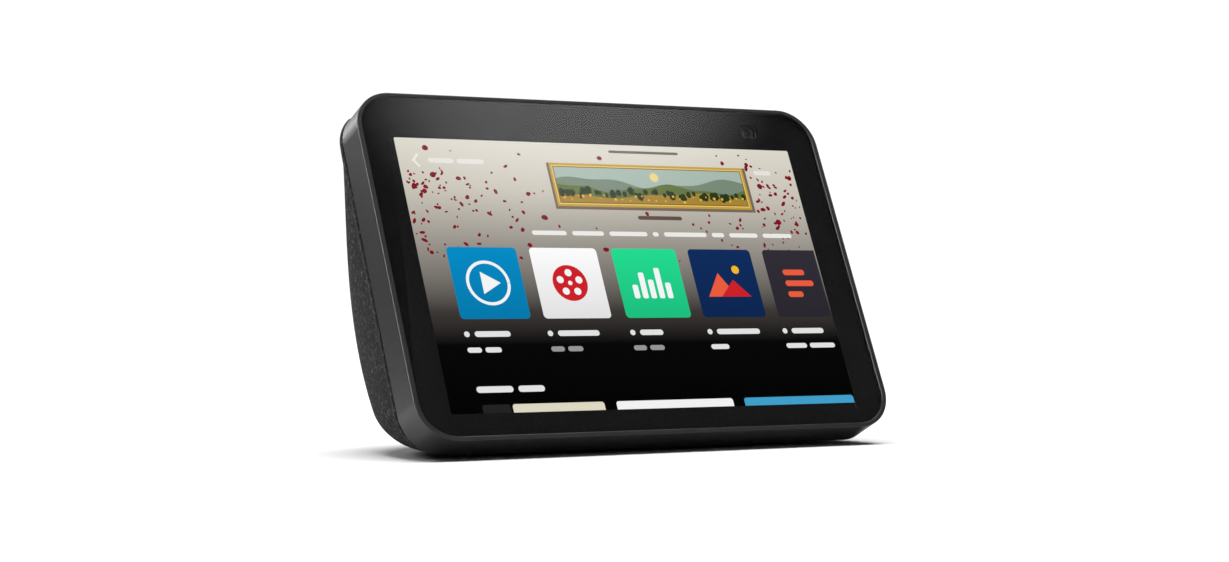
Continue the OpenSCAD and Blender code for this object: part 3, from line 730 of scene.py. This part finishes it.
def tile(i, x, colour):
    """A rounded tile; one that reaches the picture's right edge is cut off there."""
    material = fading_light("tile_%d" % i, TILE_LOW, TILE_HIGH,
                            [(0.0, tint(colour, 0.8)), (1.0, tint(colour, 1.1))])
    right = SCREEN_W / 2 - 0.6
    outline = rounded(x, TILE_LOW, TILE, TILE, 1.6)
    if x + TILE > right:
        kept = [(u, v) for u, v in outline if u < right - 0.1]
        lower = [p for p in kept if p[1] < 0]
        upper = [p for p in kept if p[1] >= 0]
        outline = [(right, TILE_LOW), (right, TILE_HIGH)] + upper + lower
    flat_patch("tile_%d" % i, outline, 2, material)


def sign_play(cx, cy, white):
    flat_patch("sign_play", [(cx - 2.6, cy - 4.4), (cx + 5.0, cy), (cx - 2.6, cy + 4.4)], 3, white)
    flat_patch("sign_play_ring", arc_band(cx, cy, 8.2, 1.2, 0, 359, 48), 3, white)


def sign_reel(cx, cy, red, white):
    flat_patch("sign_reel", disc(cx, cy, 7.2, 40), 3, red)
    holes = 5
    for k in range(holes):
        a = 2 * math.pi * k / holes + 0.3
        flat_patch("sign_reel_hole_%d" % k, disc(cx + 4.1 * math.cos(a), cy + 4.1 * math.sin(a), 1.45, 20),
                   4, white)
    flat_patch("sign_reel_hub", disc(cx, cy, 0.9, 16), 4, white)


def sign_levels(cx, cy, white):
    for k, tall in enumerate((5.5, 10.5, 7.6, 12.4, 6.4)):
        flat_patch("sign_level_%d" % k, rounded(cx - 8.4 + 3.6 * k, cy - 6.2, 2.4, tall, 0.7), 3, white)


def sign_peaks(cx, cy, coral, red, amber):
    foot = cy - 5.6
    flat_patch("sign_peak", [(cx - 9.4, foot), (cx + 3.4, foot), (cx - 3.0, cy + 4.2)], 3, coral)
    flat_patch("sign_peak_front", [(cx - 3.6, foot), (cx + 9.8, foot), (cx + 3.2, cy + 1.4)], 4, red)
    flat_patch("sign_disc", disc(cx + 5.4, cy + 5.6, 1.7, 24), 3, amber)


def sign_rows(cx, cy, coral):
    for k, wide in enumerate((7.0, 13.0, 10.0)):
        flat_patch("sign_row_%d" % k, rounded(cx - 6.8, cy - 5.8 + 4.6 * k, wide, 2.4, 1.1), 3, coral)


def app_tiles():
    """Five rounded tiles with simple made-up signs."""
    white = light_from("sign_white", srgb(245, 248, 250))
    red = light_from("sign_red", srgb(206, 32, 40))
    amber = light_from("sign_amber", srgb(244, 186, 40))
    coral = light_from("sign_coral", srgb(236, 92, 62))
    colours = ((2, 134, 190), (250, 250, 250), (32, 212, 140), (12, 42, 90), (46, 43, 52))
    for i, (x, colour) in enumerate(zip(TILE_LEFTS, colours)):
        tile(i, x, srgb(*colour))
    cy = (TILE_LOW + TILE_HIGH) / 2
    middles = [x + TILE / 2 for x in TILE_LEFTS]
    sign_play(middles[0], cy, white)
    sign_reel(middles[1], cy, red, white)
    sign_levels(middles[2], cy, white)
    sign_peaks(middles[3], cy, coral, red, amber)
    sign_rows(middles[4], cy, coral)


def captions():
    """Bars in the places of words: tile captions, header, tag line and section title."""
    bright = light_from("words_bright", srgb(228, 228, 228))
    dim = light_from("words_dim", srgb(150, 150, 152))
    pale = light_from("words_pale", srgb(238, 236, 232))
    soft = light_from("words_soft", srgb(232, 228, 224))
    upper = (18.5, 21.5, 14.2, 23.5, 19.0)
    lower = (13.6, 13.2, 13.2, 8.0, 22.5)
    upper_y, lower_y = -24.9, -30.9
    gap, sign = 1.4, 4.2
    for i, x in enumerate(TILE_LEFTS):
        tone = bright if i in (0, 3, 4) else dim
        bar("caption_sign_%d" % i, x, upper_y, 2.2, 2.2, 2, bright)
        bar("caption_%d" % i, x + sign, upper_y, upper[i] - sign, 2.2, 2, bright)
        first = 0.42 * lower[i]
        if lower[i] < 12:
            first = lower[i]
        else:
            bar("caption_end_%d" % i, x + first + gap, lower_y, lower[i] - first - gap, 2.0, 2, tone)
        bar("caption_low_%d" % i, x, lower_y, first, 2.0, 2, tone)
    bar("section_word_0", -74.4, -46.1, 14.6, 2.4, 2, bright)
    bar("section_word_1", -57.8, -46.1, 10.6, 2.4, 2, bright)
    flat_patch("back_arrow", [(-80.6, 44.8), (-78.2, 47.7), (-77.6, 47.1), (-79.5, 44.8), (-77.6, 42.5),
                              (-78.2, 41.9)], 2, pale)
    bar("header_word_0", -74.2, 43.9, 10.4, 2.0, 2, soft)
    bar("header_word_1", -62.6, 43.9, 11.2, 2.0, 2, soft)
    bar("corner_word", 67.0, 42.6, 8.0, 1.9, 2, soft)
    x = -38.0
    for k, w in enumerate((14.5, 13.5, 16.5, 2.6, 19.0, 5.6, 13.0, 13.5)):
        bar("tag_word_%d" % k, x, 15.4, w, 1.8, 2, pale)
        x += w + 2.4
    bar("small_label", 9.0, 22.3, 19.5, 1.6, 2, light_from("words_brown", srgb(96, 78, 68)))
    bar("top_label", 3.0, 50.3, 31.0, 1.1, 2, light_from("words_grey", srgb(110, 100, 94)))


def next_row():
    """Tops of the next row of pictures, cut off by the lower edge."""
    low, top = -SCREEN_H / 2 + 0.05, -50.6
    cut = 0.7
    row = (("next_dark", -73.6, -62.4, (34, 34, 34)), ("next_cream", -61.6, -24.4, (222, 218, 196)),
           ("next_white", -19.4, 30.6, (244, 244, 244)), ("next_cyan", 35.6, 85.4, (64, 160, 204)))
    for name, x0, x1, colour in row:
        outline = [(x0, low), (x1, low), (x1, top - cut), (x1 - cut, top), (x0 + cut, top), (x0, top - cut)]
        flat_patch(name, outline, 2, light_from(name, srgb(*colour)))


def lit_picture():
    half_w, half_h = SCREEN_W / 2 - 0.02, SCREEN_H / 2 - 0.02
    backdrop(half_w, half_h)
    petals(half_w, half_h, light_from("petal_red", srgb(128, 16, 34)))
    banner()
    app_tiles()
    captions()
    next_row()


# ---- Small visible pieces ----

def camera_glass(material):
    """The domed front element of the camera, deep in its window."""
    rings, around, r = 6, 32, 1.55
    rim, dome = -3.55, 0.55
    points = [on_face(CAMERA_X, CAMERA_MID, rim + dome)]
    for i in range(1, rings + 1):
        a = math.radians(90 * i / rings)
        out = r * math.sin(a)
        for k in range(around):
            t = 2 * math.pi * k / around
            points.append(on_face(CAMERA_X + out * math.cos(t), CAMERA_MID + out * math.sin(t),
                                  rim + dome * math.cos(a)))
    faces = [(0, 1 + k, 1 + (k + 1) % around) for k in range(around)]
    for i in range(rings - 1):
        for k in range(around):
            a, b = 1 + i * around + k, 1 + i * around + (k + 1) % around
            faces.append((a, a + around, b + around, b))
    return build("camera_lens", points, faces, material)


def raised_bar(name, x, z, w, d, body, material):
    """A low raised mark on a button, lying along the top of the frame."""
    top = FACE_H + 0.5
    rise = 0.12
    corners = rounded(x - w / 2, z - d / 2, w, d, min(w, d) * 0.45, 3)
    points = [on_face(u, top - 0.02, v) for u, v in corners] + [on_face(u, top + rise, v) for u, v in corners]
    n = len(corners)
    faces = [tuple(range(n)), tuple(range(2 * n - 1, n - 1, -1))]
    faces += [(i, i + n, (i + 1) % n + n, (i + 1) % n) for i in range(n)]
    return build(name, points, faces, material, body, smooth=False)


def button_marks(material):
    """A minus and a plus on the volume buttons, and a short bar on the microphone button."""
    def middle(node):
        low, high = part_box(node)
        return (low.x + high.x) / 2 / MM

    down, up, mic = middle("volume_down_button"), middle("volume_up_button"), middle("mic_button")
    raised_bar("mark_minus", down, BUTTON_Z, 2.6, 0.5, "volume_down_key", material)
    raised_bar("mark_plus_across", up, BUTTON_Z, 2.6, 0.5, "volume_up_key", material)
    raised_bar("mark_plus_along", up, BUTTON_Z, 0.5, 2.6, "volume_up_key", material)
    raised_bar("mark_mic", mic, BUTTON_Z, 0.9, 2.2, "mic_key", material)


# ---- Materials on the frame's own parts ----

def dress(names, material, edge=0.0):
    for name in names:
        node = NODES[name]
        node.data.materials.clear()
        node.data.materials.append(material)
        if edge:
            bevel(node, edge)


def dress_frame():
    frame_plastic = moulded_plastic("frame_plastic", (0.011, 0.0113, 0.012), 0.35, 0.12, 0.5, 0.5)
    key_plastic = moulded_plastic("key_plastic", (0.028, 0.029, 0.032), 0.42, 0.15)
    inner_plastic = moulded_plastic("inner_plastic", (0.03, 0.031, 0.034), 0.55, 0.3)
    base_plastic = moulded_plastic("base_plastic", (0.024, 0.025, 0.027), 0.6, 0.5)
    steel = brushed_metal("stamped_steel", (0.5, 0.51, 0.53), 0.35)
    plated = brushed_metal("plated_steel", (0.62, 0.62, 0.64), 0.28)
    rubber = soft_rubber("black_rubber", (0.014, 0.014, 0.015))
    board = circuit_board()
    dress(["front_frame"], frame_plastic)
    dress(["cover_glass"], clear_glass())
    dress(["border_print"], bonded_print())
    dress(["glass_adhesive", "microphone_boots", "left_speaker_surround", "right_speaker_surround",
           "radiator_surround"], rubber)
    dress(["rubber_foot"], rubber, 0.3)
    dress(["touch_sensor", "optical_films", "light_guide"],
          coated_gloss("clear_film", (0.6, 0.64, 0.66), 0.2))
    dress(["lcd_panel"], coated_gloss("lcd_black", (0.01, 0.012, 0.018), 0.15))
    dress(["backlight_tray", "display_chassis", "shield_cans", "camera_bracket", "tact_switches"], steel)
    dress(["chassis_screws", "housing_screws", "board_screws", "lid_screws", "base_screws",
           "jack_pin"], plated)
    dress(["main_board", "button_board", "power_board", "led_strip", "wifi_antennas"], board)
    dress(["processor", "microphones", "light_sensor"],
          moulded_plastic("chip_resin", (0.015, 0.015, 0.017), 0.45))
    dress(["thermal_pad"], soft_rubber("thermal_gel", (0.3, 0.34, 0.42)))
    dress(["heat_sink"], brushed_metal("extruded_aluminium", (0.72, 0.73, 0.75), 0.3), 0.15)
    dress(["left_speaker_magnet", "right_speaker_magnet"],
          brushed_metal("magnet_plate", (0.4, 0.41, 0.43), 0.4))
    dress(["left_speaker_cone", "right_speaker_cone", "radiator_diaphragm"],
          moulded_plastic("pressed_cone", (0.03, 0.03, 0.032), 0.6, 0.6))
    dress(["speaker_enclosure", "enclosure_lid", "left_speaker_frame", "right_speaker_frame",
           "radiator_frame", "dc_jack"], inner_plastic)
    dress(["rear_housing"], moulded_plastic("housing_plastic", (0.006, 0.006, 0.0065), 0.7, 0.3, 0.1))
    dress(["base_plate", "port_bezel"], base_plastic, 0.25)
    dress(["mic_button", "volume_down_button", "volume_up_button", "shutter_slider"], key_plastic, 0.25)
    dress(["shutter_blade"], moulded_plastic("shutter_white", (0.72, 0.72, 0.7), 0.5))
    dress(["camera_module"], coated_gloss("lens_barrel", (0.012, 0.012, 0.014), 0.3))
    dress(["display_cable"], coated_gloss("polyimide", (0.4, 0.17, 0.03), 0.3))
    dress(["speaker_wires", "power_wires"], soft_rubber("wire_jacket", (0.35, 0.025, 0.025), 0.5))
    button_marks(moulded_plastic("mark_grey", (0.34, 0.35, 0.36), 0.5))
    camera_glass(coated_gloss("coated_lens", (0.006, 0.007, 0.014), 0.04))


# ---- Stage, light and camera ----

ROOM = 0.06  # brightness of the dim room
# Soft patches of light that only reflections see: direction, degrees to the faded edge, brightness
WINDOW = (Vector((0.494, -0.472, 0.73)), 5.8, 4.2)
BACK_GLOW = (Vector((0.0, 0.95, 0.25)), 20.0, 0.6)
LEFT_GLOW = (Vector((-0.775, -0.311, 0.52)), 28.0, 26.0)
RIGHT_GLOW = (Vector((0.775, 0.62, 0.15)), 20.0, 1.4)
TOP_GLOW = (Vector((0.515, 0.659, 0.548)), 16.0, 1.6)


def light_patch(tree, where, patch):
    """Brightness of one patch, fading smoothly to nothing at its edge."""
    direction, spread_angle, brightness = patch
    facing = tree.nodes.new("ShaderNodeVectorMath")
    facing.operation = "DOT_PRODUCT"
    facing.inputs[1].default_value = direction.normalized()
    link(tree, where, "Generated", facing, 0)
    glow = tree.nodes.new("ShaderNodeMapRange")
    glow.interpolation_type = "SMOOTHERSTEP"
    glow.inputs["From Min"].default_value = math.cos(math.radians(spread_angle))
    glow.inputs["From Max"].default_value = 1.0
    glow.inputs["To Max"].default_value = brightness
    link(tree, facing, "Value", glow, "Value")
    return glow


def stage_floor():
    """A pale floor with painted shade that only reflections see: its colour darkens away from the object, as
    if between black flags.
    """
    material, tree, shader = new_material("studio_floor", (0.9, 0.9, 0.9), 0.9)
    shader.inputs["Specular IOR Level"].default_value = 0.0
    where = tree.nodes.new("ShaderNodeTexCoord")
    reach = tree.nodes.new("ShaderNodeVectorMath")
    reach.operation = "LENGTH"
    link(tree, where, "Object", reach, 0)
    # Painted shade: for reflection rays only, the floor's colour turns dark away from the object.
    far = tree.nodes.new("ShaderNodeMapRange")
    far.inputs["From Min"].default_value = 0.16
    far.inputs["From Max"].default_value = 0.45
    far.inputs["To Max"].default_value = 0.85
    link(tree, reach, "Value", far, "Value")
    path = tree.nodes.new("ShaderNodeLightPath")
    reflection_shade = tree.nodes.new("ShaderNodeMath")
    reflection_shade.operation = "MULTIPLY"
    link(tree, far, "Result", reflection_shade, 0)
    link(tree, path, "Is Glossy Ray", reflection_shade, 1)
    tone = ramp(tree, reflection_shade, "Value", [(0.0, (0.9, 0.9, 0.9)), (1.0, (0.0, 0.0, 0.0))])
    link(tree, tone, "Color", shader, "Base Color")
    mesh = bpy.data.meshes.new("studio_floor")
    size = 12.0
    corners = [(-size, -size, 0), (size, -size, 0), (size, size, 0), (-size, size, 0)]
    mesh.from_pydata(corners, [], [(0, 1, 2, 3)])
    mesh.materials.append(material)
    floor = bpy.data.objects.new("studio_floor", mesh)
    bpy.context.scene.collection.objects.link(floor)


def softbox(name, place, target, width, height, power):
    light = bpy.data.lights.new(name, "AREA")
    light.shape = "RECTANGLE"
    light.size = width
    light.size_y = height
    light.energy = power
    lamp = bpy.data.objects.new(name, light)
    lamp.location = place
    lamp.rotation_euler = (Vector(target) - Vector(place)).to_track_quat("-Z", "Y").to_euler()
    lamp.visible_camera = False
    bpy.context.scene.collection.objects.link(lamp)


def surroundings():
    """White surroundings for the eye, and a dim room with soft patches of light for reflections."""
    world = bpy.data.worlds.new("studio")
    bpy.context.scene.world = world
    world.use_nodes = True
    tree = world.node_tree
    room = tree.nodes["Background"]
    white = tree.nodes.new("ShaderNodeBackground")
    white.inputs["Color"].default_value = (1, 1, 1, 1)
    white.inputs["Strength"].default_value = 1.05
    where = tree.nodes.new("ShaderNodeTexCoord")
    path = tree.nodes.new("ShaderNodeLightPath")
    total = None
    for patch in (WINDOW, BACK_GLOW, LEFT_GLOW, RIGHT_GLOW, TOP_GLOW):
        glow = light_patch(tree, where, patch)
        sum_up = tree.nodes.new("ShaderNodeMath")
        sum_up.operation = "MULTIPLY_ADD"
        sum_up.inputs[2].default_value = ROOM
        link(tree, glow, "Result", sum_up, 0)
        link(tree, path, "Is Glossy Ray", sum_up, 1)
        if total:
            link(tree, total, "Value", sum_up, 2)
        total = sum_up
    room.inputs["Color"].default_value = (1, 1, 1, 1)
    link(tree, total, "Value", room, "Strength")
    pick = tree.nodes.new("ShaderNodeMixShader")
    link(tree, path, "Is Camera Ray", pick, 0)
    link(tree, room, 0, pick, 1)
    link(tree, white, 0, pick, 2)
    link(tree, pick, 0, tree.nodes["World Output"], 0)


def overhead():
    """Very soft light from above, coming a little from behind and from the +X side."""
    sky = bpy.data.lights.new("overhead", "SUN")
    sky.energy = 3.9
    sky.angle = math.radians(50)
    lamp = bpy.data.objects.new("overhead", sky)
    lamp.rotation_euler = Vector((-0.08, -0.12, -1)).to_track_quat("-Z", "Y").to_euler()
    bpy.context.scene.collection.objects.link(lamp)


def studio():
    surroundings()
    stage_floor()
    overhead()
    softbox("left_rim", place=(-0.33, 0.52, 0.34), target=(-0.1, 0, 0.1), width=0.4, height=0.28, power=1.6)
    bpy.context.scene.view_settings.view_transform = "Standard"


def camera():
    """Level view from the front left, from the height of the picture's lower third."""
    lens = bpy.data.cameras.new("view")
    lens.lens = 71.6
    lens.sensor_width = 36.0
    eye = bpy.data.objects.new("view", lens)
    eye.location = Vector((-470.0, -791.4, 59.1)) * MM
    toward = Vector((0.515, 0.857, 0.003))
    eye.rotation_euler = toward.to_track_quat("-Z", "Y").to_euler()
    bpy.context.scene.collection.objects.link(eye)
    bpy.context.scene.camera = eye


dress_frame()
knit_cover(knit_material())
lit_picture()
studio()
camera()
